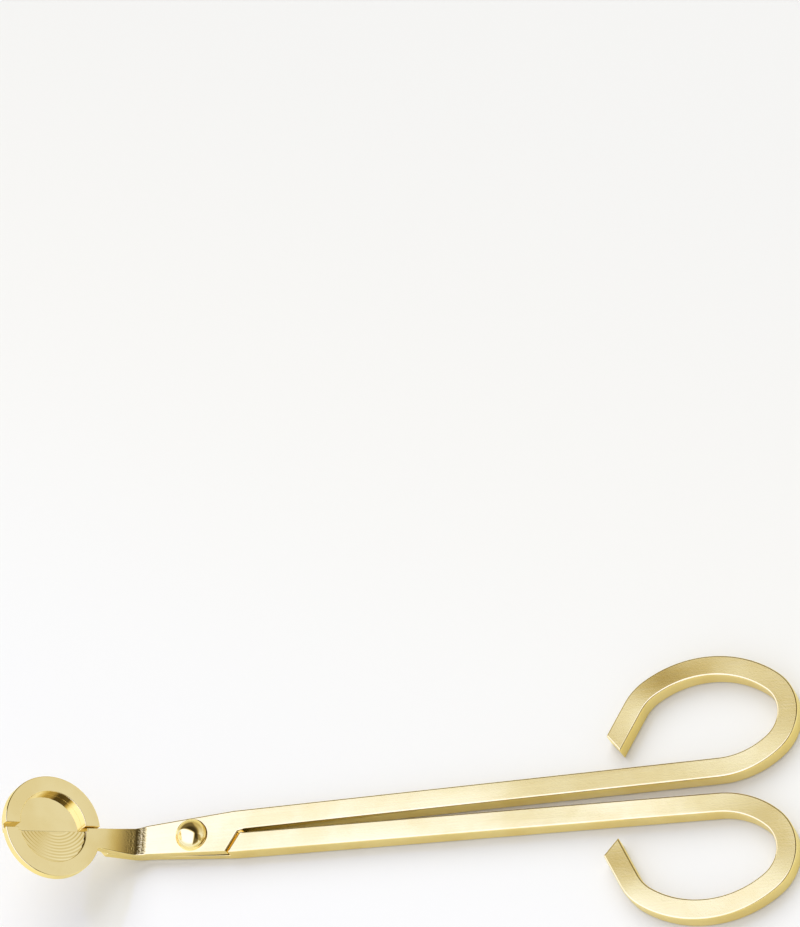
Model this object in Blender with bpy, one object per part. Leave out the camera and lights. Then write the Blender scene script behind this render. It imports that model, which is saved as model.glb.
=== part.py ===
"""Scissor-type candle wick trimmer with a round, bent-up cutting head.

The trimmer lies on its back: +X runs from the pivot to the finger loops, +Y to the front
arm's loop, and +Z out of the front face. The origin is the pivot axis at the back plane.
Two half-lapped arms cross at a domed rivet. Each arm is drawn flat with the handles
closed, milled to its layers, and then its neck is bent up by a fixed angle.
Dimensions are in millimetres and are turned into metres when a mesh is stored.
"""

import math

import bmesh
import bpy
from mathutils import Matrix, Vector

MM = 0.001

# Handles
BAR_WIDTH = 4.7
LAYER = 2.0
LAP_GAP = 0.3
THICKNESS = 2 * LAYER + LAP_GAP
BACK_LAYER_TOP = LAYER
FRONT_LAYER_FOOT = LAYER + LAP_GAP
HALF_GAP = 0.25
LOOP_START = 124.2
LOOP_ARCS = ((19.2, 41.0), (9.8, 99.7), (23.9, 72.6), (11.3, 28.5))
ARC_STEP = math.radians(5.0)
TAIL_LENGTH = 9.6
TAIL_SKEW = 1.0
REST_HALF_OPENING = math.radians(0.75)

# Lap joint: the step where the half-thickness plate ends, from its foot to its crook
SHOULDER_FOOT_X = 8.4
SHOULDER_HEAD = (11.1, 0.2)
CROOK_X = 12.7
SHOULDER_GAP = 0.6
TAPER_END_X = 10.0
LAP_HALF_WIDTH = BAR_WIDTH + HALF_GAP
NECK_HALF_WIDTH = 3.55

# Neck bend, about an axis along Y, towards the front
BEND_ANGLE = math.radians(46.0)
BEND_LINE = 12.4
BEND_RADIUS = 3.5
BEND_STEPS = 8
BEND_TANGENT = BEND_RADIUS * math.tan(BEND_ANGLE / 2)
BEND_START = BEND_LINE - BEND_TANGENT
BEND_LENGTH = BEND_RADIUS * BEND_ANGLE
FRONT_NECK_FOOT = -3.9

# Round head, in the plane of the bent neck: distances are from the bend line
HEAD_CENTRE = (21.6, -1.5)
HEAD_RADIUS = 11.7
POCKET_RADIUS = 8.1
HEAD_ARC_STEP = math.radians(6.0)
SEAM_ANGLE = math.radians(11.5)
SEAM_LIFT = 0.2
SEAM_HALF_GAP = 0.08
RIM_HEEL_OFFSET = -0.2
RIM_TOE_OFFSET = 0.18
FRONT_POCKET_DEPTH = 0.5
EDGE_SETBACK = 0.7
PLATE_THICKNESS = 0.8
PLATE_OVERLAP = 1.6
PLATE_INSET = 0.2
PLATE_STEP = 9.2
BACK_NECK_FOOT = -3.8
BACK_NECK_END = ((8.6, -2.6), (6.7, -4.3))

# Pivot rivet
SHANK_RADIUS = 1.9
FIT = 0.3
DOME_RADIUS = 3.75
DOME_HEIGHT = 2.9
DOME_STEPS = 9
TAIL_RADIUS = 3.0
TAIL_THICKNESS = 0.5
TURNED_SIDES = 48

OVERSHOOT = 3.0
FAR = 60.0

GOLD = (0.86, 0.69, 0.36)
PALE_GOLD = (0.93, 0.82, 0.55)


# ---------------------------------------------------------------- scene and materials

def clear_scene():
    for item in list(bpy.data.objects):
        bpy.data.objects.remove(item, do_unlink=True)


def metal(name, colour, roughness):
    material = bpy.data.materials.new(name)
    material.use_nodes = True
    shader = material.node_tree.nodes["Principled BSDF"]
    shader.inputs["Base Color"].default_value = (*colour, 1.0)
    shader.inputs["Metallic"].default_value = 1.0
    shader.inputs["Roughness"].default_value = roughness
    return material


def pivot_empty(name, turn):
    empty = bpy.data.objects.new(name, None)
    empty.empty_display_size = 0.01
    empty.rotation_euler.z = turn
    bpy.context.scene.collection.objects.link(empty)
    return empty


def store(name, body, material, parent):
    """Scale a finished bmesh to metres and store it as a named object."""
    bmesh.ops.scale(body, vec=(MM, MM, MM), verts=body.verts)
    bmesh.ops.recalc_face_normals(body, faces=body.faces)
    mesh = bpy.data.meshes.new(name)
    body.to_mesh(mesh)
    body.free()
    mesh.materials.append(material)
    mesh.shade_smooth()
    mesh.set_sharp_from_angle(angle=math.radians(30))
    item = bpy.data.objects.new(name, mesh)
    item.parent = parent
    bpy.context.scene.collection.objects.link(item)
    return item


# ---------------------------------------------------------------- solids and cuts

def prism(outline, foot, top):
    """Closed solid from a plan outline between two heights."""
    body = bmesh.new()
    corners = [body.verts.new((x, y, foot)) for x, y in outline]
    face = body.faces.new(corners)
    raised = bmesh.ops.extrude_face_region(body, geom=[face])["geom"]
    lifted = [v for v in raised if isinstance(v, bmesh.types.BMVert)]
    bmesh.ops.translate(body, vec=(0, 0, top - foot), verts=lifted)
    bmesh.ops.recalc_face_normals(body, faces=body.faces)
    return body


def circle(centre, radius, sides):
    turn = 2 * math.pi / sides
    return [(centre[0] + radius * math.cos(i * turn), centre[1] + radius * math.sin(i * turn))
            for i in range(sides)]


def temporary(body):
    mesh = bpy.data.meshes.new("cutting")
    body.to_mesh(mesh)
    body.free()
    item = bpy.data.objects.new("cutting", mesh)
    bpy.context.scene.collection.objects.link(item)
    return item


def cut(blank, cutters):
    """Take each cutter away from the blank and give the result as one bmesh."""
    work = temporary(blank)
    tools = [temporary(cutter) for cutter in cutters]
    for tool in tools:
        step = work.modifiers.new("cut", "BOOLEAN")
        step.operation = "DIFFERENCE"
        step.solver = "EXACT"
        step.object = tool
    depsgraph = bpy.context.evaluated_depsgraph_get()
    result = bmesh.new()
    result.from_mesh(work.evaluated_get(depsgraph).to_mesh())
    for item in (work, *tools):
        bpy.data.objects.remove(item, do_unlink=True)
    return result


def bent(point):
    """Where a point of the flat arm goes when the neck is bent up."""
    run = -point.x - BEND_START
    depth = THICKNESS - point.z
    if run <= 0:
        return point
    turn = min(run / BEND_RADIUS, BEND_ANGLE)
    reach = BEND_RADIUS + depth
    x = -BEND_START - reach * math.sin(turn)
    z = THICKNESS + BEND_RADIUS - reach * math.cos(turn)
    past = max(run - BEND_LENGTH, 0.0)
    return Vector((x - past * math.cos(BEND_ANGLE), point.y, z + past * math.sin(BEND_ANGLE)))


def bend_neck(body):
    """Slice the neck across, then bend it."""
    for step in range(BEND_STEPS + 1):
        x = -BEND_START - BEND_LENGTH * step / BEND_STEPS
        parts = body.verts[:] + body.edges[:] + body.faces[:]
        bmesh.ops.bisect_plane(body, geom=parts, dist=0.0001, plane_co=(x, 0, 0), plane_no=(1, 0, 0))
    for vert in body.verts:
        vert.co = bent(vert.co)
    return body


# ---------------------------------------------------------------- handle outline

def loop_path():
    """Centre line of the upper handle past its straight bar: places and headings."""
    place = Vector((LOOP_START, HALF_GAP + BAR_WIDTH / 2))
    heading = 0.0
    path = [(place.copy(), heading)]
    for radius, degrees in LOOP_ARCS:
        sweep = math.radians(degrees)
        steps = max(2, round(sweep / ARC_STEP))
        centre = place + radius * Vector((-math.sin(heading), math.cos(heading)))
        for step in range(1, steps + 1):
            angle = heading + sweep * step / steps
            place = centre + radius * Vector((math.sin(angle), -math.cos(angle)))
            path.append((place.copy(), angle))
        heading += sweep
    return path


def handle_sides():
    """Outer and inner sides of the upper handle, each from the bar to the tail's tip."""
    outer, inner = [], []
    path = loop_path()
    for place, heading in path:
        across = Vector((-math.sin(heading), math.cos(heading))) * BAR_WIDTH / 2
        outer.append(place - across)
        inner.append(place + across)
    place, heading = path[-1]
    along = Vector((math.cos(heading), math.sin(heading)))
    across = Vector((-along.y, along.x)) * BAR_WIDTH / 2
    outer.append(place + along * (TAIL_LENGTH - TAIL_SKEW) - across)
    inner.append(place + along * (TAIL_LENGTH + TAIL_SKEW) + across)
    return [tuple(p) for p in outer], [tuple(p) for p in inner]


def mirrored(points):
    return [(x, -y) for x, y in reversed(points)]


# ---------------------------------------------------------------- head outline

def flat(along, across):
    """Plan point on the flat arm of a point on the head, measured from the bend line."""
    return (-(BEND_START + BEND_LENGTH + along - BEND_TANGENT), across)


def head_point(radius, angle, offset=0.0):
    """Plan point at an angle from the seam's pivot end, moved off the seam by an offset."""
    x, y = flat(*HEAD_CENTRE)
    local = Vector((radius * math.cos(angle), radius * math.sin(angle) + offset))
    turned = Matrix.Rotation(SEAM_ANGLE, 2) @ local
    return (x + turned.x, y + turned.y)


def seam_point(distance, offset):
    """Plan point beside the seam: positive distance towards the pivot, offset to +Y."""
    return head_point(distance, 0.0, SEAM_LIFT + offset)


def head_arc(radius, start, end):
    steps = max(2, round(abs(end - start) / HEAD_ARC_STEP))
    return [head_point(radius, start + (end - start) * i / steps) for i in range(steps + 1)]


def reach_at(radius, offset):
    """Half the chord that a head circle cuts from a line at an offset beside the seam."""
    return math.sqrt(radius ** 2 - (SEAM_LIFT + offset) ** 2)


def lift_at(radius, offset):
    """Angle above the centre, at the rim, of a line at an offset beside the seam."""
    return math.asin((SEAM_LIFT + offset) / radius)


def neck_edge(offset):
    """Where a line beside the seam leaves the bend."""
    x = -(BEND_START + BEND_LENGTH)
    foot = seam_point(0.0, offset)
    return (x, foot[1] + (x - foot[0]) * math.tan(SEAM_ANGLE))


def front_neck_angle():
    """Angle on the head circle, from the seam, where the front neck's foot meets it."""
    drop = (FRONT_NECK_FOOT - HEAD_CENTRE[1]) / HEAD_RADIUS
    return math.asin(drop) - SEAM_ANGLE


def lower_head_outline():
    """Front blade: along the seam to the far rim, round the bottom, back to the neck."""
    gap = -SEAM_HALF_GAP
    edge = gap - EDGE_SETBACK
    points = [seam_point(reach_at(POCKET_RADIUS, gap), gap)]
    points.append(seam_point(reach_at(POCKET_RADIUS, gap), edge))
    points.append(seam_point(-reach_at(POCKET_RADIUS, gap), edge))
    points.append(seam_point(-reach_at(POCKET_RADIUS, gap), gap))
    start = math.pi - lift_at(HEAD_RADIUS, gap)
    points += head_arc(HEAD_RADIUS, start, 2 * math.pi + front_neck_angle())
    return points


def upper_head_outline():
    """Tray plate: over the top from the pivot side, then back along its shear edge."""
    radius = HEAD_RADIUS - PLATE_INSET
    end = math.pi - lift_at(radius, -PLATE_OVERLAP)
    points = head_arc(radius, lift_at(radius, SEAM_HALF_GAP), end)
    points.append(seam_point(reach_at(radius, -PLATE_OVERLAP), -PLATE_OVERLAP))
    return points


# ---------------------------------------------------------------- arms

def shoulder(inset):
    """Lower step line of the front plate, moved towards the pivot by an inset."""
    foot_y = -LAP_HALF_WIDTH - OVERSHOOT
    slope = (SHOULDER_HEAD[0] - SHOULDER_FOOT_X) / (LAP_HALF_WIDTH - SHOULDER_HEAD[1])
    foot_x = SHOULDER_FOOT_X - slope * OVERSHOOT
    return [(foot_x - inset, foot_y), (SHOULDER_HEAD[0] - inset, -SHOULDER_HEAD[1]),
            (CROOK_X - inset, HALF_GAP)]


def lap_half_width(x):
    share = (x + BEND_START) / (TAPER_END_X + BEND_START)
    return NECK_HALF_WIDTH + (LAP_HALF_WIDTH - NECK_HALF_WIDTH) * share


def plate_foot():
    """Corners of the front plate's lower end: where it meets the bar, then its foot."""
    return [(SHOULDER_FOOT_X, -lap_half_width(SHOULDER_FOOT_X)),
            (SHOULDER_HEAD[0], -SHOULDER_HEAD[1]), (CROOK_X, HALF_GAP)]


def front_outline():
    outer, inner = handle_sides()
    points = plate_foot() + outer + inner[::-1]
    points.append((TAPER_END_X, LAP_HALF_WIDTH))
    points.append((-BEND_START, NECK_HALF_WIDTH))
    points.append(neck_edge(-SEAM_HALF_GAP))
    points += lower_head_outline()
    points.append((-(BEND_START + BEND_LENGTH), FRONT_NECK_FOOT))
    points.append((-BEND_START, -NECK_HALF_WIDTH))
    return points


def back_outline():
    outer, inner = handle_sides()
    points = [(x, -y) for x, y in reversed(plate_foot())]
    points.append((-BEND_START, NECK_HALF_WIDTH))
    points.append(neck_edge(0.0))
    points += upper_head_outline()
    points += [flat(*corner) for corner in BACK_NECK_END]
    points.append((-(BEND_START + BEND_LENGTH), BACK_NECK_FOOT))
    points.append((-BEND_START, -NECK_HALF_WIDTH))
    points.append((TAPER_END_X, -LAP_HALF_WIDTH))
    return points + [(x, -y) for x, y in inner] + [(x, -y) for x, y in reversed(outer)]


def pivot_side(inset):
    """Wide plan region on the pivot's side of the lower shoulder."""
    line = shoulder(inset)
    top = line[-1]
    return line + [(top[0], FAR), (-FAR, FAR), (-FAR, line[0][1])]


def rivet_hole():
    return prism(circle((0, 0), SHANK_RADIUS + FIT, TURNED_SIDES), -OVERSHOOT, THICKNESS + OVERSHOOT)


def front_arm(material, parent):
    """Upper handle, front lap plate, neck and the lower half of the round head."""
    blank = prism(front_outline(), 0.0, THICKNESS)
    back_layer = prism(mirrored(pivot_side(0.0)), -OVERSHOOT, FRONT_LAYER_FOOT)
    floor = THICKNESS - FRONT_POCKET_DEPTH
    pocket = prism(circle(flat(*HEAD_CENTRE), POCKET_RADIUS, TURNED_SIDES), floor, FAR)
    body = cut(blank, [back_layer, rivet_hole(), pocket])
    return store("front_arm", bend_neck(body), material, parent)


def back_arm(material, parent):
    """Lower handle, back lap plate, neck and the plate under the upper half of the head."""
    blank = prism(back_outline(), 0.0, THICKNESS)
    front_layer = prism(pivot_side(-SHOULDER_GAP), BACK_LAYER_TOP, THICKNESS + OVERSHOOT)
    step_x = flat(PLATE_STEP, 0.0)[0]
    under = [(-FAR, -FAR), (step_x, -FAR), (step_x, FAR), (-FAR, FAR)]
    under_plate = prism(under, -OVERSHOOT, BACK_LAYER_TOP - PLATE_THICKNESS)
    seat = circle((0, 0), TAIL_RADIUS + FIT, TURNED_SIDES)
    tail_seat = prism(seat, -OVERSHOOT, TAIL_THICKNESS + FIT)
    body = cut(blank, [front_layer, under_plate, rivet_hole(), tail_seat])
    return store("back_arm", bend_neck(body), material, parent)


def tray_rim(material, parent):
    """Half ring that stands on the back arm's plate and makes the tray's wall."""
    outline = head_arc(HEAD_RADIUS, lift_at(HEAD_RADIUS, RIM_HEEL_OFFSET),
                       math.pi - lift_at(HEAD_RADIUS, RIM_TOE_OFFSET))
    outline += head_arc(POCKET_RADIUS, math.pi - lift_at(POCKET_RADIUS, RIM_TOE_OFFSET),
                        lift_at(POCKET_RADIUS, RIM_HEEL_OFFSET))
    body = prism(outline, FRONT_LAYER_FOOT, THICKNESS)
    for vert in body.verts:
        vert.co = bent(vert.co)
    return store("tray_rim", body, material, parent)


def dome_profile(foot):
    """Spherical cap from its rim to the axis."""
    ball = (DOME_RADIUS ** 2 + DOME_HEIGHT ** 2) / (2 * DOME_HEIGHT)
    centre = foot + DOME_HEIGHT - ball
    start = math.asin((foot - centre) / ball)
    angles = [start + (math.pi / 2 - start) * i / DOME_STEPS for i in range(DOME_STEPS)]
    return [(ball * math.cos(a), centre + ball * math.sin(a)) for a in angles]


def turned(profile):
    """Solid of revolution about Z from a profile that starts and ends on the axis."""
    body = bmesh.new()
    chain = [body.verts.new((r, 0, z)) for r, z in profile]
    edges = [body.edges.new(pair) for pair in zip(chain, chain[1:])]
    bmesh.ops.spin(body, geom=chain + edges, cent=(0, 0, 0), axis=(0, 0, 1),
                   angle=2 * math.pi, steps=TURNED_SIDES, use_merge=True)
    bmesh.ops.remove_doubles(body, verts=body.verts, dist=0.0001)
    return body


def pivot_rivet(material, parent):
    """Domed rivet: polished head in front, shank, and a flush tail at the back."""
    foot = THICKNESS + FIT
    profile = [(0, 0), (TAIL_RADIUS, 0), (TAIL_RADIUS, TAIL_THICKNESS)]
    profile += [(SHANK_RADIUS, TAIL_THICKNESS), (SHANK_RADIUS, foot)]
    profile += dome_profile(foot)
    profile.append((0, foot + DOME_HEIGHT))
    return store("pivot_rivet", turned(profile), material, parent)


def main():
    clear_scene()
    plated = metal("plated_gold", GOLD, 0.22)
    polished = metal("polished_gold", PALE_GOLD, 0.08)
    front_pivot = pivot_empty("front_pivot", REST_HALF_OPENING)
    back_pivot = pivot_empty("back_pivot", -REST_HALF_OPENING)
    front_arm(plated, front_pivot)
    pivot_rivet(polished, front_pivot)
    back_arm(plated, back_pivot)
    tray_rim(plated, back_pivot)


main()
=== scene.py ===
"""Looks of the wick trimmer: plated gold arms with rounded edges, a turned head, a domed
rivet, a pale floor and soft studio light. Plan dimensions are in millimetres, with the
handles closed and the necks still straight; each piece is bent at the neck, then turned to
its rest opening and scaled to metres when it is stored. Heights start at the back faces.
"""

import math

import bmesh
import bpy
from mathutils import Matrix, Vector


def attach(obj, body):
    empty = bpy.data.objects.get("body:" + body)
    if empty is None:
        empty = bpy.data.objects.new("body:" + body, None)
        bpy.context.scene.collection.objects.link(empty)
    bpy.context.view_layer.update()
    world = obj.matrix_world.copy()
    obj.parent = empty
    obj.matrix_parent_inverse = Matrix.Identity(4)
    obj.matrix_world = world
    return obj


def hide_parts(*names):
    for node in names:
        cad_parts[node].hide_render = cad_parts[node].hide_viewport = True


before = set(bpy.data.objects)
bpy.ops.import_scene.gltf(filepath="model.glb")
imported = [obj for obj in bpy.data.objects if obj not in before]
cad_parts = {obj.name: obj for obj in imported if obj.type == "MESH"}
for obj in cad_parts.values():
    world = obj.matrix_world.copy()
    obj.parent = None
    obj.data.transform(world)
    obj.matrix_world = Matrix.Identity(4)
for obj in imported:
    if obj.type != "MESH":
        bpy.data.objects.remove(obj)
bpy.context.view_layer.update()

MM = 0.001

# Handles and lap joint, as in the design
BAR_WIDTH = 4.7
LAYER = 2.0
LAP_GAP = 0.3
THICKNESS = 2 * LAYER + LAP_GAP
FRONT_LAYER_FOOT = LAYER + LAP_GAP
HALF_GAP = 0.25
LOOP_START = 124.2
LOOP_ARCS = ((19.2, 41.0), (9.8, 99.7), (23.9, 72.6), (11.3, 28.5))
ARC_STEP = math.radians(2.5)
TAIL_LENGTH = 9.6
TAIL_SKEW = 1.0
REST_HALF_OPENING = math.radians(0.75)
SHOULDER_FOOT_X = 8.4
SHOULDER_HEAD = (11.1, 0.2)
CROOK_X = 12.7
SHOULDER_GAP = 0.6
TAPER_END_X = 10.0
LAP_HALF_WIDTH = BAR_WIDTH + HALF_GAP
NECK_HALF_WIDTH = 3.55

# Neck bend
BEND_ANGLE = math.radians(46.0)
BEND_LINE = 12.4
BEND_RADIUS = 3.5
BEND_STEPS = 24
BEND_TANGENT = BEND_RADIUS * math.tan(BEND_ANGLE / 2)
BEND_START = BEND_LINE - BEND_TANGENT
BEND_LENGTH = BEND_RADIUS * BEND_ANGLE
EASE_ANGLE = math.radians(5.0)
EASE_LENGTH = 7.2
EASE_STEPS = 10
FRONT_NECK_FOOT = -3.9

# Round head
HEAD_CENTRE = (21.6, -1.5)
HEAD_RADIUS = 11.7
POCKET_RADIUS = 8.1
HEAD_ARC_STEP = math.radians(2.5)
SEAM_ANGLE = math.radians(11.5)
SEAM_LIFT = 0.2
SEAM_HALF_GAP = 0.08
RIM_HEEL_OFFSET = -0.2
RIM_TOE_OFFSET = 0.18
FRONT_POCKET_DEPTH = 0.5
EDGE_SETBACK = 0.7
NOTCH_MARGIN = 0.5
PLATE_THICKNESS = 0.8
PLATE_OVERLAP = 1.6
PLATE_INSET = 0.2
PLATE_STEP = 9.2
RIM_SEAT_GAP = 0.01
BACK_NECK_FOOT = -3.8
BACK_NECK_END = ((8.6, -2.6), (6.7, -4.3))
POCKET_SIDES = 160

# Turned floor of the front pocket: shallow rings about an off-centre axis
RING_CENTRE = (0.45, 3.4)
RING_FIRST = 4.6
RING_PITCH = 0.74
RING_DEPTH = 0.032
RING_STEPS = 10
RING_COUNT = 10
RING_SIDES = 180
RING_BLANK_DEPTH = 0.2
FLOOR_THICKNESS = 0.1
FLOOR_MARGIN = 0.2
FLOOR_FIT = 0.02
FLOOR_SINK = 0.02

# Pivot rivet; the feet of its dome and tail are given as inset from the radius, and rise
SHANK_RADIUS = 1.9
FIT = 0.3
DOME_RADIUS = 3.75
DOME_HEIGHT = 3.1
DOME_SKIRT = 0.35
DOME_FOOT = ((0.12, 0.0), (0.03, 0.05), (0.0, 0.14))
DOME_SEAT_GAP = 0.02
DOME_STEPS = 40
TAIL_RADIUS = 3.0
TAIL_THICKNESS = 0.5
TAIL_FOOT = ((0.5, 0.0), (0.12, 0.06), (0.0, 0.2))
TURNED_SIDES = 96

# Finish of the edges
BAR_ROUND = 0.34
HEAD_ROUND = 0.2
CORNER_ROUND = 0.12
SEAM_ROUND = 0.16
HAIR_ROUND = 0.06
ROUND_SEGMENTS = 4
SHARP_ANGLE = math.radians(25.0)
SMOOTH_ANGLE = math.radians(40.0)
FLAT_FACE_WEIGHT = 100

# Where each rounding applies: rings about the head and the pivot, bands of height, and how
# steep an edge counts as upright
OUTER_RING = HEAD_RADIUS - PLATE_INSET - 0.05
POCKET_RING = POCKET_RADIUS + 0.5
PIVOT_RING = TAIL_RADIUS + 1.0
LAP_BAND = 0.35
RIM_FOOT_BAND = 0.5
UPRIGHT = 0.9

# Reach of the cutting tools past the metal, and how near two points count as one
OVERSHOOT = 3.0
FAR = 60.0
MERGE_DISTANCE = 0.0001
SLICE_DISTANCE = 0.00001


# ---------------------------------------------------------------- solids and cuts

def prism(outline, foot, top):
    """Closed solid from a plan outline between two heights."""
    body = bmesh.new()
    face = body.faces.new([body.verts.new((x, y, foot)) for x, y in outline])
    raised = bmesh.ops.extrude_face_region(body, geom=[face])["geom"]
    lifted = [v for v in raised if isinstance(v, bmesh.types.BMVert)]
    bmesh.ops.translate(body, vec=(0, 0, top - foot), verts=lifted)
    bmesh.ops.recalc_face_normals(body, faces=body.faces)
    return body


def turned(profile, sides=TURNED_SIDES, centre=(0.0, 0.0)):
    """Solid of revolution about a vertical axis, from a profile that ends on the axis."""
    body = bmesh.new()
    chain = [body.verts.new((r, 0, z)) for r, z in profile]
    edges = [body.edges.new(pair) for pair in zip(chain, chain[1:])]
    bmesh.ops.spin(body, geom=chain + edges, cent=(0, 0, 0), axis=(0, 0, 1),
                   angle=2 * math.pi, steps=sides, use_merge=True)
    bmesh.ops.remove_doubles(body, verts=body.verts, dist=MERGE_DISTANCE)
    bmesh.ops.recalc_face_normals(body, faces=body.faces)
    bmesh.ops.translate(body, vec=(*centre, 0), verts=body.verts)
    return body


def circle(centre, radius, sides):
    """Plan outline of a circle."""
    turn = 2 * math.pi / sides
    return [(centre[0] + radius * math.cos(i * turn), centre[1] + radius * math.sin(i * turn))
            for i in range(sides)]


def temporary(body):
    """Work object made from a bmesh, which is freed."""
    mesh = bpy.data.meshes.new("work")
    body.to_mesh(mesh)
    body.free()
    item = bpy.data.objects.new("work", mesh)
    bpy.context.scene.collection.objects.link(item)
    return item


def evaluated(work, extras=()):
    """The work object's final mesh as a bmesh; the work objects are removed."""
    depsgraph = bpy.context.evaluated_depsgraph_get()
    result = bmesh.new()
    result.from_mesh(work.evaluated_get(depsgraph).to_mesh())
    for item in (work, *extras):
        bpy.data.objects.remove(item, do_unlink=True)
    return result


def combine(blank, tools, operation="DIFFERENCE"):
    """Cut the tools out of a blank, or keep what it shares with them."""
    work = temporary(blank)
    others = [temporary(tool) for tool in tools]
    for other in others:
        step = work.modifiers.new("cut", "BOOLEAN")
        step.operation = operation
        step.solver = "EXACT"
        step.object = other
    return evaluated(work, others)


def round_edges(body, radius_of):
    """Bevel each outward edge by the radius that radius_of gives for it."""
    weights = body.edges.layers.float.new("bevel_weight_edge")
    body.normal_update()
    radii = {}
    for edge in body.edges:
        if len(edge.link_faces) == 2 and edge.calc_face_angle_signed(0.0) > SHARP_ANGLE:
            radii[edge] = radius_of(edge)
    widest = max(radii.values())
    for edge, radius in radii.items():
        edge[weights] = radius / widest
    work = temporary(body)
    bevel = work.modifiers.new("round", "BEVEL")
    bevel.limit_method = "WEIGHT"
    bevel.width = widest
    bevel.segments = ROUND_SEGMENTS
    bevel.use_clamp_overlap = False
    bevel.miter_outer = "MITER_ARC"
    return evaluated(work)


# ---------------------------------------------------------------- bending and storing

def rolled(point, start, angle, radius):
    """Where a point goes when the sheet past start is rolled up through an angle."""
    run = -point.x - start
    if run <= 0:
        return point
    turn = min(run / radius, angle)
    reach = radius + THICKNESS - point.z
    x = -start - reach * math.sin(turn)
    z = THICKNESS + radius - reach * math.cos(turn)
    past = max(run - radius * angle, 0.0)
    return Vector((x - past * math.cos(angle), point.y, z + past * math.sin(angle)))


def bent(point):
    """The neck's bend: a tight roll, and past it a slow one that eases into the head."""
    tight = BEND_ANGLE - EASE_ANGLE
    eased = rolled(point, BEND_START + BEND_LENGTH, EASE_ANGLE, EASE_LENGTH / EASE_ANGLE)
    return rolled(eased, BEND_START, tight, BEND_LENGTH / tight)


def bend_neck(body):
    """Slice a piece across the bend, then bend it."""
    stations = [BEND_START + BEND_LENGTH * step / BEND_STEPS for step in range(BEND_STEPS + 1)]
    stations += [BEND_START + BEND_LENGTH + EASE_LENGTH * (step + 1) / EASE_STEPS
                 for step in range(EASE_STEPS)]
    for station in stations:
        parts = body.verts[:] + body.edges[:] + body.faces[:]
        bmesh.ops.bisect_plane(body, geom=parts, dist=SLICE_DISTANCE,
                               plane_co=(-station, 0, 0), plane_no=(1, 0, 0))
    for vert in body.verts:
        vert.co = bent(vert.co)
    return body


def store(name, body, opening, rider, node, material):
    """Turn a piece to its rest opening, scale it, and hang it on its body."""
    to_rest = Matrix.Scale(MM, 4) @ Matrix.Rotation(opening, 4, "Z")
    bmesh.ops.transform(body, matrix=to_rest, verts=body.verts)
    bmesh.ops.recalc_face_normals(body, faces=body.faces)
    mesh = bpy.data.meshes.new(name)
    body.to_mesh(mesh)
    body.free()
    mesh.materials.append(material)
    mesh.shade_smooth()
    mesh.set_sharp_from_angle(angle=SMOOTH_ANGLE)
    piece = bpy.data.objects.new(name, mesh)
    bpy.context.scene.collection.objects.link(piece)
    normals = piece.modifiers.new("flat faces stay flat", "WEIGHTED_NORMAL")
    normals.keep_sharp = True
    normals.weight = FLAT_FACE_WEIGHT
    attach(piece, rider)
    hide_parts(node)


# ---------------------------------------------------------------- outlines

def loop_path():
    """Centre line of the upper handle past its straight bar: places and headings."""
    place = Vector((LOOP_START, HALF_GAP + BAR_WIDTH / 2))
    heading = 0.0
    path = [(place.copy(), heading)]
    for radius, degrees in LOOP_ARCS:
        sweep = math.radians(degrees)
        steps = round(sweep / ARC_STEP)
        centre = place + radius * Vector((-math.sin(heading), math.cos(heading)))
        for step in range(1, steps + 1):
            angle = heading + sweep * step / steps
            place = centre + radius * Vector((math.sin(angle), -math.cos(angle)))
            path.append((place.copy(), angle))
        heading += sweep
    return path


def handle_sides():
    """Outer and inner sides of the upper handle, each from the bar to the tail's tip."""
    outer, inner = [], []
    path = loop_path()
    for place, heading in path:
        across = Vector((-math.sin(heading), math.cos(heading))) * BAR_WIDTH / 2
        outer.append(place - across)
        inner.append(place + across)
    place, heading = path[-1]
    along = Vector((math.cos(heading), math.sin(heading)))
    across = Vector((-along.y, along.x)) * BAR_WIDTH / 2
    outer.append(place + along * (TAIL_LENGTH - TAIL_SKEW) - across)
    inner.append(place + along * (TAIL_LENGTH + TAIL_SKEW) + across)
    return [tuple(p) for p in outer], [tuple(p) for p in inner]


def flat(along, across):
    """Plan point on the flat arm of a point on the head, measured from the bend line."""
    return (-(BEND_START + BEND_LENGTH + along - BEND_TANGENT), across)


def head_point(radius, angle, offset=0.0):
    """Plan point about the head's centre, in axes turned to run along the seam."""
    x, y = flat(*HEAD_CENTRE)
    local = Vector((radius * math.cos(angle), radius * math.sin(angle) + offset))
    place = Matrix.Rotation(SEAM_ANGLE, 2) @ local
    return (x + place.x, y + place.y)


def seam_point(distance, offset):
    """Plan point beside the seam line."""
    return head_point(distance, 0.0, SEAM_LIFT + offset)


def head_arc(radius, start, end):
    """Arc about the head's centre, between two angles from the seam's direction."""
    steps = round(abs(end - start) / HEAD_ARC_STEP)
    return [head_point(radius, start + (end - start) * i / steps) for i in range(steps + 1)]


def reach_at(radius, offset):
    """Distance along a line beside the seam to a circle about the head's centre."""
    return math.sqrt(radius ** 2 - (SEAM_LIFT + offset) ** 2)


def lift_at(radius, offset):
    """Angle at which that line meets the circle."""
    return math.asin((SEAM_LIFT + offset) / radius)


def neck_edge(offset):
    """Where a line beside the seam leaves the bend."""
    x = -(BEND_START + BEND_LENGTH)
    foot = seam_point(0.0, offset)
    return (x, foot[1] + (x - foot[0]) * math.tan(SEAM_ANGLE))


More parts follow.
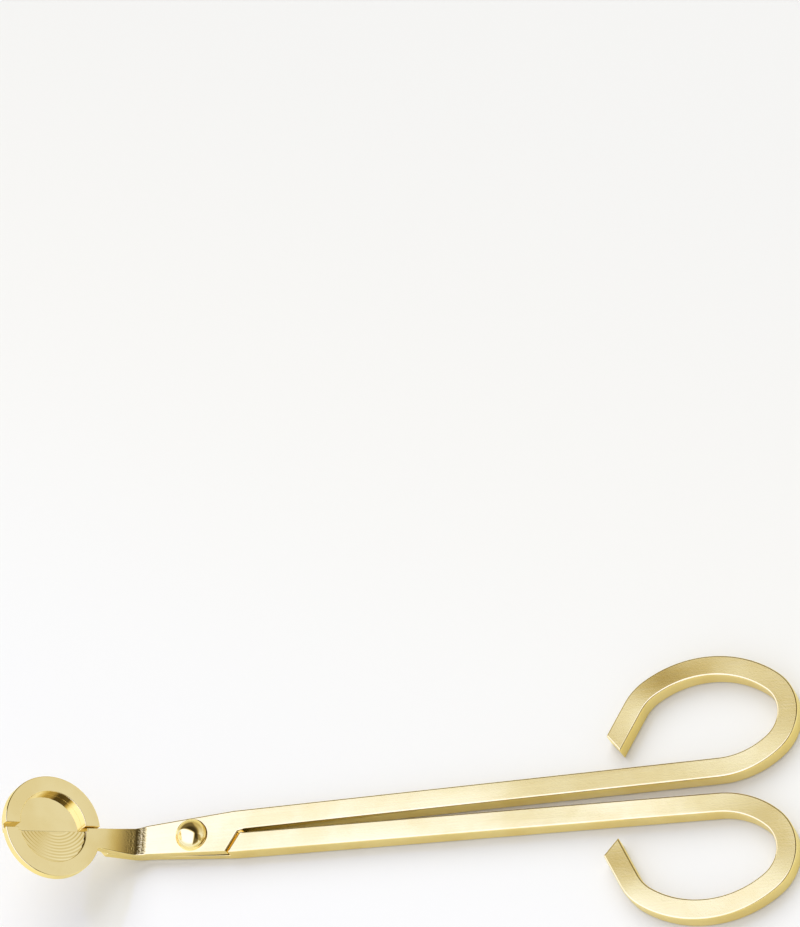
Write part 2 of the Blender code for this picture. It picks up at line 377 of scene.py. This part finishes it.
def lower_head_outline():
    """Front half of the head, with the notch along its cutting edge."""
    gap = -SEAM_HALF_GAP
    edge = gap - EDGE_SETBACK
    reach = reach_at(POCKET_RADIUS, gap) + NOTCH_MARGIN
    points = [seam_point(reach, gap), seam_point(reach, edge),
              seam_point(-reach, edge), seam_point(-reach, gap)]
    neck = math.asin((FRONT_NECK_FOOT - HEAD_CENTRE[1]) / HEAD_RADIUS) - SEAM_ANGLE
    return points + head_arc(HEAD_RADIUS, math.pi - lift_at(HEAD_RADIUS, gap), 2 * math.pi + neck)


def upper_head_outline():
    """Tray plate, which runs on below the seam."""
    radius = HEAD_RADIUS - PLATE_INSET
    end = math.pi - lift_at(radius, -PLATE_OVERLAP)
    points = head_arc(radius, lift_at(radius, SEAM_HALF_GAP), end)
    points.append(seam_point(reach_at(radius, -PLATE_OVERLAP), -PLATE_OVERLAP))
    return points


def shoulder(inset):
    """Step line of the front plate's lower end, moved towards the pivot by an inset."""
    slope = (SHOULDER_HEAD[0] - SHOULDER_FOOT_X) / (LAP_HALF_WIDTH - SHOULDER_HEAD[1])
    foot = (SHOULDER_FOOT_X - slope * OVERSHOOT - inset, -LAP_HALF_WIDTH - OVERSHOOT)
    return [foot, (SHOULDER_HEAD[0] - inset, -SHOULDER_HEAD[1]), (CROOK_X - inset, HALF_GAP)]


def pivot_side(inset):
    """Wide plan region on the pivot's side of the lower shoulder."""
    line = shoulder(inset)
    return line + [(line[-1][0], FAR), (-FAR, FAR), (-FAR, line[0][1])]


def mirrored(points):
    return [(x, -y) for x, y in reversed(points)]


def lap_half_width(x):
    """Half width of the taper between the neck and the lap joint."""
    share = (x + BEND_START) / (TAPER_END_X + BEND_START)
    return NECK_HALF_WIDTH + (LAP_HALF_WIDTH - NECK_HALF_WIDTH) * share


def plate_foot():
    """Lower end of the front plate, from its outer corner to the gap between the handles."""
    return [(SHOULDER_FOOT_X, -lap_half_width(SHOULDER_FOOT_X)),
            (SHOULDER_HEAD[0], -SHOULDER_HEAD[1]), (CROOK_X, HALF_GAP)]


def front_outline():
    """Whole front arm: shoulder, handle, neck and lower half of the head."""
    outer, inner = handle_sides()
    points = plate_foot() + outer + inner[::-1]
    points += [(TAPER_END_X, LAP_HALF_WIDTH), (-BEND_START, NECK_HALF_WIDTH)]
    points.append(neck_edge(-SEAM_HALF_GAP))
    points += lower_head_outline()
    points.append((-(BEND_START + BEND_LENGTH), FRONT_NECK_FOOT))
    points.append((-BEND_START, -NECK_HALF_WIDTH))
    return points


def back_outline():
    """Whole back arm: shoulder, neck, tray plate and handle."""
    outer, inner = handle_sides()
    points = mirrored(plate_foot())
    points += [(-BEND_START, NECK_HALF_WIDTH), neck_edge(0.0)]
    points += upper_head_outline()
    points += [flat(*corner) for corner in BACK_NECK_END]
    points.append((-(BEND_START + BEND_LENGTH), BACK_NECK_FOOT))
    points.append((-BEND_START, -NECK_HALF_WIDTH))
    points.append((TAPER_END_X, -LAP_HALF_WIDTH))
    return points + [(x, -y) for x, y in inner] + [(x, -y) for x, y in reversed(outer)]


# ---------------------------------------------------------------- arms and rim

def in_head(point):
    """Distance of a plan point from the head's centre, and from the seam line."""
    x, y = flat(*HEAD_CENTRE)
    local = Matrix.Rotation(-SEAM_ANGLE, 2) @ Vector((point.x - x, point.y - y))
    return local.length, abs(local.y - SEAM_LIFT)


def is_upright(edge):
    first, second = (vert.co for vert in edge.verts)
    return abs((first - second).normalized().z) > UPRIGHT


def middle_of(edge):
    return (edge.verts[0].co + edge.verts[1].co) / 2


def head_edge_radius(edge):
    """Rounding of an edge past the bend."""
    if is_upright(edge):
        return HAIR_ROUND
    if min(in_head(vert.co)[0] for vert in edge.verts) > OUTER_RING:
        return HEAD_ROUND
    reach, off = in_head(middle_of(edge))
    return SEAM_ROUND if reach < POCKET_RING or off < PLATE_OVERLAP else HEAD_ROUND


def edge_radius(edge):
    """Rounding of an arm's outward edge, by where the edge lies."""
    middle = middle_of(edge)
    if middle.x < -BEND_START:
        return head_edge_radius(edge)
    if math.hypot(middle.x, middle.y) < PIVOT_RING or abs(middle.z - LAYER) < LAP_BAND:
        return HAIR_ROUND
    return CORNER_ROUND if is_upright(edge) else BAR_ROUND


def pocket_floor(material):
    """Turned floor of the front pocket, a thin plate with shallow concentric rings."""
    level = THICKNESS - FRONT_POCKET_DEPTH
    profile = [(0, level)]
    for step in range(RING_COUNT * RING_STEPS + 1):
        radius = RING_FIRST + step * RING_PITCH / RING_STEPS
        wave = math.cos(2 * math.pi * step / RING_STEPS)
        profile.append((radius, level - RING_DEPTH * (1 - wave) / 2))
    foot = level - FLOOR_THICKNESS - RING_BLANK_DEPTH
    profile += [(profile[-1][0], foot), (0, foot)]
    x, y = flat(*HEAD_CENTRE)
    rings = turned(profile, RING_SIDES, (x + RING_CENTRE[0], y + RING_CENTRE[1]))
    edge = -SEAM_HALF_GAP - EDGE_SETBACK - FLOOR_MARGIN
    radius = POCKET_RADIUS - FLOOR_FIT
    lift = lift_at(radius, edge)
    outline = head_arc(radius, math.pi - lift, 2 * math.pi + lift)
    plate = prism(outline, level - FLOOR_THICKNESS - FLOOR_SINK, THICKNESS)
    body = bend_neck(combine(rings, [plate], "INTERSECT"))
    store("pocket_floor", body, REST_HALF_OPENING, "front", "front_arm", material)


def drill(radius, foot, top):
    """Round cutter on the pivot's axis."""
    return prism(circle((0, 0), radius, TURNED_SIDES), foot, top)


def rivet_hole():
    return drill(SHANK_RADIUS + FIT, -OVERSHOOT, THICKNESS + OVERSHOOT)


def front_arm(material):
    """Upper handle, front layer of the lap joint, and the lower half of the head."""
    blank = prism(front_outline(), 0.0, THICKNESS)
    depth = FRONT_POCKET_DEPTH + FLOOR_THICKNESS
    pocket = prism(circle(flat(*HEAD_CENTRE), POCKET_RADIUS, POCKET_SIDES), THICKNESS - depth, FAR)
    lap = prism(mirrored(pivot_side(0.0)), -OVERSHOOT, FRONT_LAYER_FOOT)
    body = combine(blank, [lap, rivet_hole(), pocket])
    body = round_edges(body, edge_radius)
    store("front_arm_body", bend_neck(body), REST_HALF_OPENING, "front", "front_arm",
          material)


def back_arm(material):
    """Lower handle, back layer of the lap joint, and the plate of the tray."""
    blank = prism(back_outline(), 0.0, THICKNESS)
    front_layer = prism(pivot_side(-SHOULDER_GAP), LAYER, THICKNESS + OVERSHOOT)
    step_x = flat(PLATE_STEP, 0.0)[0]
    under = [(-FAR, -FAR), (step_x, -FAR), (step_x, FAR), (-FAR, FAR)]
    plate_gap = prism(under, -OVERSHOOT, LAYER - PLATE_THICKNESS)
    seat = drill(TAIL_RADIUS + FIT, -OVERSHOOT, TAIL_THICKNESS + FIT)
    body = combine(blank, [front_layer, plate_gap, rivet_hole(), seat])
    body = round_edges(body, edge_radius)
    store("back_arm_body", bend_neck(body), -REST_HALF_OPENING, "back", "back_arm",
          material)


def rim_radius(edge):
    """Rounding of the rim's edges, all but sharp where it stands on the plate."""
    return HAIR_ROUND if middle_of(edge).z < LAYER + RIM_FOOT_BAND else head_edge_radius(edge)


def tray_rim(material):
    """Raised half ring round the tray."""
    outline = head_arc(HEAD_RADIUS, lift_at(HEAD_RADIUS, RIM_HEEL_OFFSET),
                       math.pi - lift_at(HEAD_RADIUS, RIM_TOE_OFFSET))
    outline += head_arc(POCKET_RADIUS, math.pi - lift_at(POCKET_RADIUS, RIM_TOE_OFFSET),
                        lift_at(POCKET_RADIUS, RIM_HEEL_OFFSET))
    ring = prism(outline, LAYER + RIM_SEAT_GAP, THICKNESS)
    body = bend_neck(round_edges(ring, rim_radius))
    store("tray_rim_body", body, -REST_HALF_OPENING, "back", "tray_rim", material)


# ---------------------------------------------------------------- rivet

def dome_profile(foot):
    """Polished cap: a short straight skirt, then a spherical crown up to the axis."""
    height = DOME_HEIGHT - DOME_SKIRT
    ball = (DOME_RADIUS ** 2 + height ** 2) / (2 * height)
    centre = foot + DOME_HEIGHT - ball
    start = math.asin((foot + DOME_SKIRT - centre) / ball)
    crown = [start + (math.pi / 2 - start) * i / DOME_STEPS for i in range(DOME_STEPS)]
    points = [(DOME_RADIUS - inset, foot + rise) for inset, rise in DOME_FOOT]
    return points + [(ball * math.cos(a), centre + ball * math.sin(a)) for a in crown]


def pivot_rivet(material):
    """Flush tail, shank through both layers, and the dome in front."""
    foot = THICKNESS + DOME_SEAT_GAP
    tail = [(0, 0)] + [(TAIL_RADIUS - inset, rise) for inset, rise in TAIL_FOOT]
    tail.append((TAIL_RADIUS, TAIL_THICKNESS))
    shank = [(SHANK_RADIUS, TAIL_THICKNESS), (SHANK_RADIUS, foot)]
    profile = tail + shank + dome_profile(foot) + [(0, foot + DOME_HEIGHT)]
    store("pivot_rivet_body", turned(profile), REST_HALF_OPENING, "front", "pivot_rivet",
          material)


# ---------------------------------------------------------------- node helpers

def link(tree, source, target):
    """Feed a socket from another socket, or give it a fixed value."""
    if isinstance(source, bpy.types.NodeSocket):
        tree.links.new(source, target)
    else:
        target.default_value = source


def calc(tree, operation, first, second=0.0, third=0.0):
    """Output of a math node; each input is a socket or a number."""
    made = tree.nodes.new("ShaderNodeMath")
    made.operation = operation
    for socket, value in zip(made.inputs, (first, second, third)):
        link(tree, value, socket)
    return made.outputs["Value"]


def remap(tree, value, low, high, start, end, soft=True):
    """Map a socket's value from one range to another."""
    made = tree.nodes.new("ShaderNodeMapRange")
    made.interpolation_type = "SMOOTHSTEP" if soft else "LINEAR"
    for name, number in (("From Min", low), ("From Max", high), ("To Min", start), ("To Max", end)):
        link(tree, number, made.inputs[name])
    tree.links.new(value, made.inputs["Value"])
    return made.outputs["Result"]


def parts_of(tree, source):
    """X, Y and Z of a vector socket."""
    made = tree.nodes.new("ShaderNodeSeparateXYZ")
    tree.links.new(source, made.inputs["Vector"])
    return made.outputs["X"], made.outputs["Y"], made.outputs["Z"]


def noise(tree, place, scale, detail, roughness=0.5):
    """Noise in the object's own frame; scale is in cycles per metre, one for each axis."""
    spread = tree.nodes.new("ShaderNodeMapping")
    spread.inputs["Scale"].default_value = scale
    tree.links.new(place, spread.inputs["Vector"])
    made = tree.nodes.new("ShaderNodeTexNoise")
    made.inputs["Scale"].default_value = 1.0
    made.inputs["Detail"].default_value = detail
    made.inputs["Roughness"].default_value = roughness
    tree.links.new(spread.outputs["Vector"], made.inputs["Vector"])
    return made.outputs["Fac"]


def bump(tree, height, strength, distance, below=None):
    """Normal disturbed by a height, on top of the bump below it."""
    made = tree.nodes.new("ShaderNodeBump")
    link(tree, strength, made.inputs["Strength"])
    made.inputs["Distance"].default_value = distance
    tree.links.new(height, made.inputs["Height"])
    if below:
        tree.links.new(below, made.inputs["Normal"])
    return made.outputs["Normal"]


# ---------------------------------------------------------------- materials

LIGHT_GOLD = (1.0, 0.86, 0.47, 1.0)
WARM_GOLD = (0.95, 0.79, 0.39, 1.0)
ARM_FINISH = {"smooth": 0.06, "rough": 0.13, "streaks": 0.7, "grain": 0.05, "wave": 0.00012}
RIVET_FINISH = {"smooth": 0.02, "rough": 0.06, "streaks": 0.2, "grain": 0.01, "wave": 0.0}

# Patterns in cycles per metre, and the part of each one's range that shows
PATCH_SCALE = (110.0, 110.0, 110.0)
PATCH_SPAN = (0.35, 0.7)
BRUSH_SCALE = (90.0, 2600.0, 1400.0)
BRUSH_DEPTH = 0.000002
PIT_SCALE = (2400.0, 2400.0, 2400.0)
PIT_DEPTH = 0.00006
FINE_ROUGHNESS = 0.6
HAZE_SPAN = (0.3, 0.7)
WAVE_SCALE = (38.0, 38.0, 38.0)

# Along the arm in metres: the head is polished smoother, and the bend is pitted
POLISH_SPAN = (-0.0185, -0.0165)
HEAD_POLISH = 0.35
PITS_BEGIN = (-0.0156, -0.0138)
PITS_END = (-0.0121, -0.0106)

# Places on the handles where hand polishing tilted the faces: x, y, slope, reach (mm)
FRONT_DENTS = ((101.0, 16.0, -0.017, 8.0), (109.0, 27.0, -0.026, 7.0), (95.0, 3.0, -0.019, 11.0),
               (120.0, 29.0, -0.006, 6.0), (129.0, 27.0, 0.008, 7.0), (130.0, 8.0, 0.01, 6.0))
BACK_DENTS = ((135.0, -9.0, -0.02, 8.0), (141.0, -18.0, -0.016, 6.0), (137.0, -26.0, -0.01, 6.0),
              (101.0, -16.0, -0.032, 9.0), (114.0, -29.0, -0.004, 6.0))
NECK_RELIEF = 0.00095
NECK_RELIEF_SPAN = (-0.026, -0.012)
NECK_RELIEF_POWER = 3.0


def dent(tree, x, y, centre_x, centre_y, slope, reach):
    """Height in metres of one shallow dent: a slope across the bar that dies away."""
    run = calc(tree, "SUBTRACT", x, centre_x * MM)
    rise = calc(tree, "SUBTRACT", y, centre_y * MM)
    square = calc(tree, "MULTIPLY_ADD", run, run, calc(tree, "MULTIPLY", rise, rise))
    fall = calc(tree, "EXPONENT", calc(tree, "MULTIPLY", square, -0.5 / (reach * MM) ** 2))
    return calc(tree, "MULTIPLY", calc(tree, "MULTIPLY", rise, slope), fall)


def relief(tree, place, dents):
    """Slow unevenness of the polished faces, in metres."""
    x, y, _ = parts_of(tree, place)
    neck = remap(tree, x, *NECK_RELIEF_SPAN, 0.0, 1.0, soft=False)
    height = calc(tree, "MULTIPLY", calc(tree, "POWER", neck, NECK_RELIEF_POWER), NECK_RELIEF)
    for centre_x, centre_y, slope, reach in dents:
        height = calc(tree, "ADD", height, dent(tree, x, y, centre_x, centre_y, slope, reach))
    return height


def gold_tone(tree, place):
    """Plating colour, drifting between two golds in soft patches."""
    tone = tree.nodes.new("ShaderNodeMix")
    tone.data_type = "RGBA"
    tone.inputs[6].default_value = LIGHT_GOLD
    tone.inputs[7].default_value = WARM_GOLD
    patches = noise(tree, place, PATCH_SCALE, 3.0)
    tree.links.new(remap(tree, patches, *PATCH_SPAN, 0.0, 1.0), tone.inputs["Factor"])
    return tone.outputs[2]


def plating(name, dents, smooth, rough, streaks, grain, wave):
    """Gold plating: slow changes of tone and level, polishing streaks and fine pits."""
    material = bpy.data.materials.new(name)
    material.use_nodes = True
    tree = material.node_tree
    shader = tree.nodes["Principled BSDF"]
    shader.inputs["Metallic"].default_value = 1.0
    place = tree.nodes.new("ShaderNodeTexCoord").outputs["Object"]
    along = parts_of(tree, place)[0]
    tree.links.new(gold_tone(tree, place), shader.inputs["Base Color"])

    brushed = noise(tree, place, BRUSH_SCALE, 4.0, FINE_ROUGHNESS)
    pitted = noise(tree, place, PIT_SCALE, 3.0, FINE_ROUGHNESS)
    haze = calc(tree, "MULTIPLY_ADD", brushed, streaks, calc(tree, "MULTIPLY", pitted, 1.0 - streaks))
    satin = remap(tree, haze, *HAZE_SPAN, smooth, rough)
    polish = remap(tree, along, *POLISH_SPAN, HEAD_POLISH, 1.0)
    tree.links.new(calc(tree, "MULTIPLY", satin, polish), shader.inputs["Roughness"])

    near_bend = calc(tree, "MULTIPLY", remap(tree, along, *PITS_BEGIN, 0.0, 1.0),
                     remap(tree, along, *PITS_END, 1.0, 0.0))
    pits = calc(tree, "MULTIPLY_ADD", near_bend, 1.0 - grain, grain)
    uneven = calc(tree, "MULTIPLY_ADD", noise(tree, place, WAVE_SCALE, 1.0), wave,
                  relief(tree, place, dents))
    slow = bump(tree, uneven, 1.0, 1.0)
    fine = bump(tree, brushed, streaks, BRUSH_DEPTH, slow)
    tree.links.new(bump(tree, pitted, pits, PIT_DEPTH, fine), shader.inputs["Normal"])
    return material


# ---------------------------------------------------------------- stage, light and camera

CAMERA_PLACE = (0.4117, -0.4679, 1.0288)
CAMERA_AIM = (0.0449, 0.0918, 0.0)
CAMERA_UP = (-0.042, 1.0, 0.0)
LENS = 203.6
VIEW_DEPTH = 10.0
FLOOR_SIZE = 3.0
FLOOR_DROP = 0.0001
FLOOR_ROUGHNESS = 0.12
FLOOR_IOR = 1.6
FLOOR_SEEN = (0.965, 0.96, 0.93, 1.0)
# Floor colour that only the metal's reflections see: a painted reflection, darker and warmer than the
# floor.
FLOOR_PAINTED_REFLECTION_TINT = (0.98, 0.92, 0.56, 1.0)


def camera():
    """Long lens at the photograph's viewing angle."""
    data = bpy.data.cameras.new("photo_camera")
    data.lens = LENS
    data.clip_end = VIEW_DEPTH
    item = bpy.data.objects.new("photo_camera", data)
    place = Vector(CAMERA_PLACE)
    back = (place - Vector(CAMERA_AIM)).normalized()
    right = Vector(CAMERA_UP).cross(back).normalized()
    frame_matrix = Matrix((right, back.cross(right), back)).transposed().to_4x4()
    item.matrix_world = Matrix.Translation(place) @ frame_matrix
    bpy.context.scene.collection.objects.link(item)
    bpy.context.scene.camera = item


def floor():
    """Pale floor; the metal sees it a little deeper and warmer than the eye does: a painted
    reflection tint, so that the floor reflected in the metal is darker and yellower than the floor
    itself.
    """
    material = bpy.data.materials.new("pale_floor")
    material.use_nodes = True
    tree = material.node_tree
    shader = tree.nodes["Principled BSDF"]
    shader.inputs["Roughness"].default_value = FLOOR_ROUGHNESS
    shader.inputs["IOR"].default_value = FLOOR_IOR
    # Glossy rays get the painted reflection tint; the eye and diffuse rays get the pale floor colour.
    painted_reflection_mask = tree.nodes.new("ShaderNodeLightPath").outputs["Is Glossy Ray"]
    tone = tree.nodes.new("ShaderNodeMix")
    tone.data_type = "RGBA"
    tone.inputs[6].default_value = FLOOR_SEEN
    tone.inputs[7].default_value = FLOOR_PAINTED_REFLECTION_TINT
    tree.links.new(painted_reflection_mask, tone.inputs["Factor"])
    tree.links.new(tone.outputs[2], shader.inputs["Base Color"])
    mesh = bpy.data.meshes.new("floor")
    size = FLOOR_SIZE
    mesh.from_pydata([(-size, -size, 0), (size, -size, 0), (size, size, 0), (-size, size, 0)], [],
                     [(0, 1, 2, 3)])
    mesh.materials.append(material)
    item = bpy.data.objects.new("floor", mesh)
    item.location.z = -FLOOR_DROP
    bpy.context.scene.collection.objects.link(item)


# Overhead panel, as seen on a ceiling one unit up: it fades along the slope, and towards the
# right. Heights here are 0 at the horizon and 1 straight up.
PANEL_REACH = 2.72
PANEL_SLOPE = (2.9, 5.8)
PANEL_RIGHT = (0.4, 0.85)
PANEL_FULL = 1.25
PANEL_LOW = 0.92
PANEL_LOW_HEIGHTS = (0.15, 0.5)
LEAST_HEIGHT = 0.05

# Dark gap beyond the panel, darkest high up
GAP_LEVELS = (0.16, 0.03)
GAP_HEIGHTS = (0.5, 0.8)

# Pale walls: the right-hand one stands taller, and all are darker towards the back
RIGHT_WALL = (0.91, 0.41)
RIGHT_WALL_SPAN = (0.3, 0.7)
WALL_LEVEL = 0.77
WALL_TURN = 0.45
WALL_FADE = 0.385
WALL_TOPS = (0.36, 0.72)

# Dark flag at the near right
FLAG_X = (0.66, 0.90)
FLAG_Y = (-0.52, -0.1)
FLAG_SOFT = 0.12
FLAG_DEPTH = 0.6

# Colour of the studio by its level, and the even light that the floor takes up
ROOM_LEVEL = 0.62
SUN_STRENGTH = 1.45
SUN_SPREAD = math.radians(60.0)
SUN_TILT = (math.radians(-38.0), math.radians(-8.0), 0.0)
TINTS = ((0.0, (0.02, 0.014, 0.008)), (0.2, (0.26, 0.21, 0.12)), (0.4, (0.53, 0.44, 0.24)),
         (0.5, (0.63, 0.56, 0.37)), (0.64, (0.8, 0.79, 0.77)), (0.75, (0.94, 0.99, 1.13)),
         (0.88, (1.08, 1.17, 1.55)), (1.0, (1.25, 1.3, 2.0)))


def panel_level(tree, x, y, z):
    """Brightness of the overhead panel and of the gap beyond it."""
    height = calc(tree, "MAXIMUM", z, LEAST_HEIGHT)
    slope = calc(tree, "MULTIPLY_ADD", x, PANEL_SLOPE[0], calc(tree, "MULTIPLY", y, PANEL_SLOPE[1]))
    fade = calc(tree, "SUBTRACT", PANEL_REACH, calc(tree, "DIVIDE", slope, height))
    right = remap(tree, calc(tree, "DIVIDE", x, height), *PANEL_RIGHT, 1.0, 0.0)
    lit = calc(tree, "MULTIPLY", calc(tree, "MINIMUM", fade, PANEL_FULL), right)
    level = calc(tree, "MAXIMUM", lit, remap(tree, z, *GAP_HEIGHTS, *GAP_LEVELS))
    cap = remap(tree, z, *PANEL_LOW_HEIGHTS, PANEL_LOW, PANEL_FULL)
    return calc(tree, "MINIMUM", level, cap)


def wall_level(tree, x, y, z):
    """Brightness of the pale walls, none above their tops."""
    side = calc(tree, "MULTIPLY_ADD", x, RIGHT_WALL[0], calc(tree, "MULTIPLY", y, RIGHT_WALL[1]))
    top = remap(tree, side, *RIGHT_WALL_SPAN, *WALL_TOPS)
    foot = calc(tree, "SUBTRACT", top, WALL_FADE)
    turn = calc(tree, "MULTIPLY", calc(tree, "SUBTRACT", RIGHT_WALL[1], y), WALL_TURN)
    level = calc(tree, "MINIMUM", calc(tree, "ADD", turn, WALL_LEVEL), 1.0)
    return remap(tree, z, foot, top, level, 0.0)


def band(tree, value, low, high, soft):
    """1 between two values, 0 outside them, with soft sides."""
    rising = remap(tree, value, low - soft, low, 0.0, 1.0)
    return calc(tree, "MULTIPLY", rising, remap(tree, value, high, high + soft, 1.0, 0.0))


def flag(tree, x, y):
    """Share of the light that the dark flag leaves."""
    across = band(tree, x, *FLAG_X, FLAG_SOFT)
    inside = calc(tree, "MULTIPLY", across, band(tree, y, *FLAG_Y, FLAG_SOFT))
    return calc(tree, "SUBTRACT", 1.0, calc(tree, "MULTIPLY", inside, FLAG_DEPTH))


def studio():
    """Bright panel overhead, dark gap beyond its far and right edges, pale walls low down."""
    world = bpy.data.worlds.new("studio")
    world.use_nodes = True
    bpy.context.scene.world = world
    tree = world.node_tree
    place = parts_of(tree, tree.nodes.new("ShaderNodeTexCoord").outputs["Generated"])
    level = calc(tree, "MAXIMUM", panel_level(tree, *place), wall_level(tree, *place))
    level = calc(tree, "MULTIPLY", level, flag(tree, *place[:2]))
    ramp = tree.nodes.new("ShaderNodeValToRGB")
    steps = ramp.color_ramp.elements
    for share, _ in TINTS[1:-1]:
        steps.new(share)
    for step, (share, tint) in zip(steps, TINTS):
        step.position = share
        step.color = (*tint, 1.0)
    tree.links.new(calc(tree, "DIVIDE", level, PANEL_FULL), ramp.inputs["Fac"])
    room = tree.nodes.new("ShaderNodeMix")
    room.data_type = "RGBA"
    room.inputs[7].default_value = (ROOM_LEVEL, ROOM_LEVEL, ROOM_LEVEL, 1.0)
    tree.links.new(ramp.outputs["Color"], room.inputs[6])
    lighting_floor = tree.nodes.new("ShaderNodeLightPath").outputs["Is Diffuse Ray"]
    tree.links.new(lighting_floor, room.inputs["Factor"])
    tree.links.new(room.outputs[2], tree.nodes["Background"].inputs["Color"])
    bpy.context.scene.view_settings.view_transform = "Standard"


def floor_light():
    """Broad light from behind that only the floor takes up, so that it stays pale."""
    data = bpy.data.lights.new("floor_light", "SUN")
    data.energy = SUN_STRENGTH
    data.angle = SUN_SPREAD
    item = bpy.data.objects.new("floor_light", data)
    item.rotation_euler = SUN_TILT
    item.visible_glossy = False
    bpy.context.scene.collection.objects.link(item)


def main():
    front_gold = plating("plated_gold_front", FRONT_DENTS, **ARM_FINISH)
    back_gold = plating("plated_gold_back", BACK_DENTS, **ARM_FINISH)
    mirror_gold = plating("polished_gold", (), **RIVET_FINISH)
    front_arm(front_gold)
    pocket_floor(front_gold)
    back_arm(back_gold)
    tray_rim(back_gold)
    pivot_rivet(mirror_gold)
    floor()
    studio()
    floor_light()
    camera()


main()
